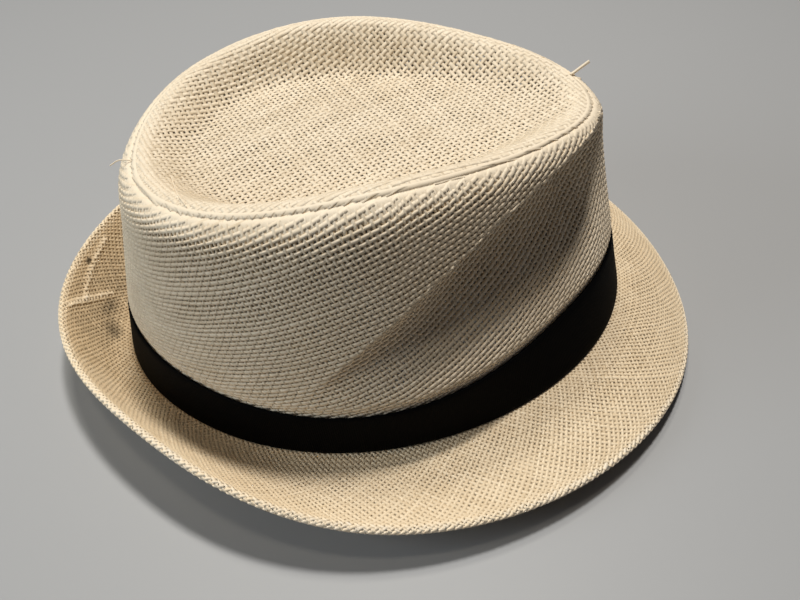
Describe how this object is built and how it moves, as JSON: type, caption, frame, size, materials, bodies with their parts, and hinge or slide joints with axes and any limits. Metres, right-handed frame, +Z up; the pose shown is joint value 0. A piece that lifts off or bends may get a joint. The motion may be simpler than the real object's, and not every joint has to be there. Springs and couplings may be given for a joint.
{
  "type": "straw fedora",
  "caption": "Woven straw short-brim fedora with a pinched teardrop crown, a plain black ribbon and a brim turned up behind and down in front, for wear on the head.",
  "frame": {"origin": "on the surface that the hat rests on, under the middle of the brim's length and width", "axes": "+Z up, +Y from the hat's front to its back, +X towards the wearer's left"},
  "size_m": [0.2408, 0.2618, 0.1054],
  "materials": {
    "straw": "woven paper straw, natural cream, matt",
    "ribbon": "black ribbon, fine ribs, matt"
  },
  "bodies": {
    "root": {"crown_side": "straw", "crown_tip": "straw", "ribbon_band": "ribbon", "brim": "straw"}
  },
  "joints": []
}
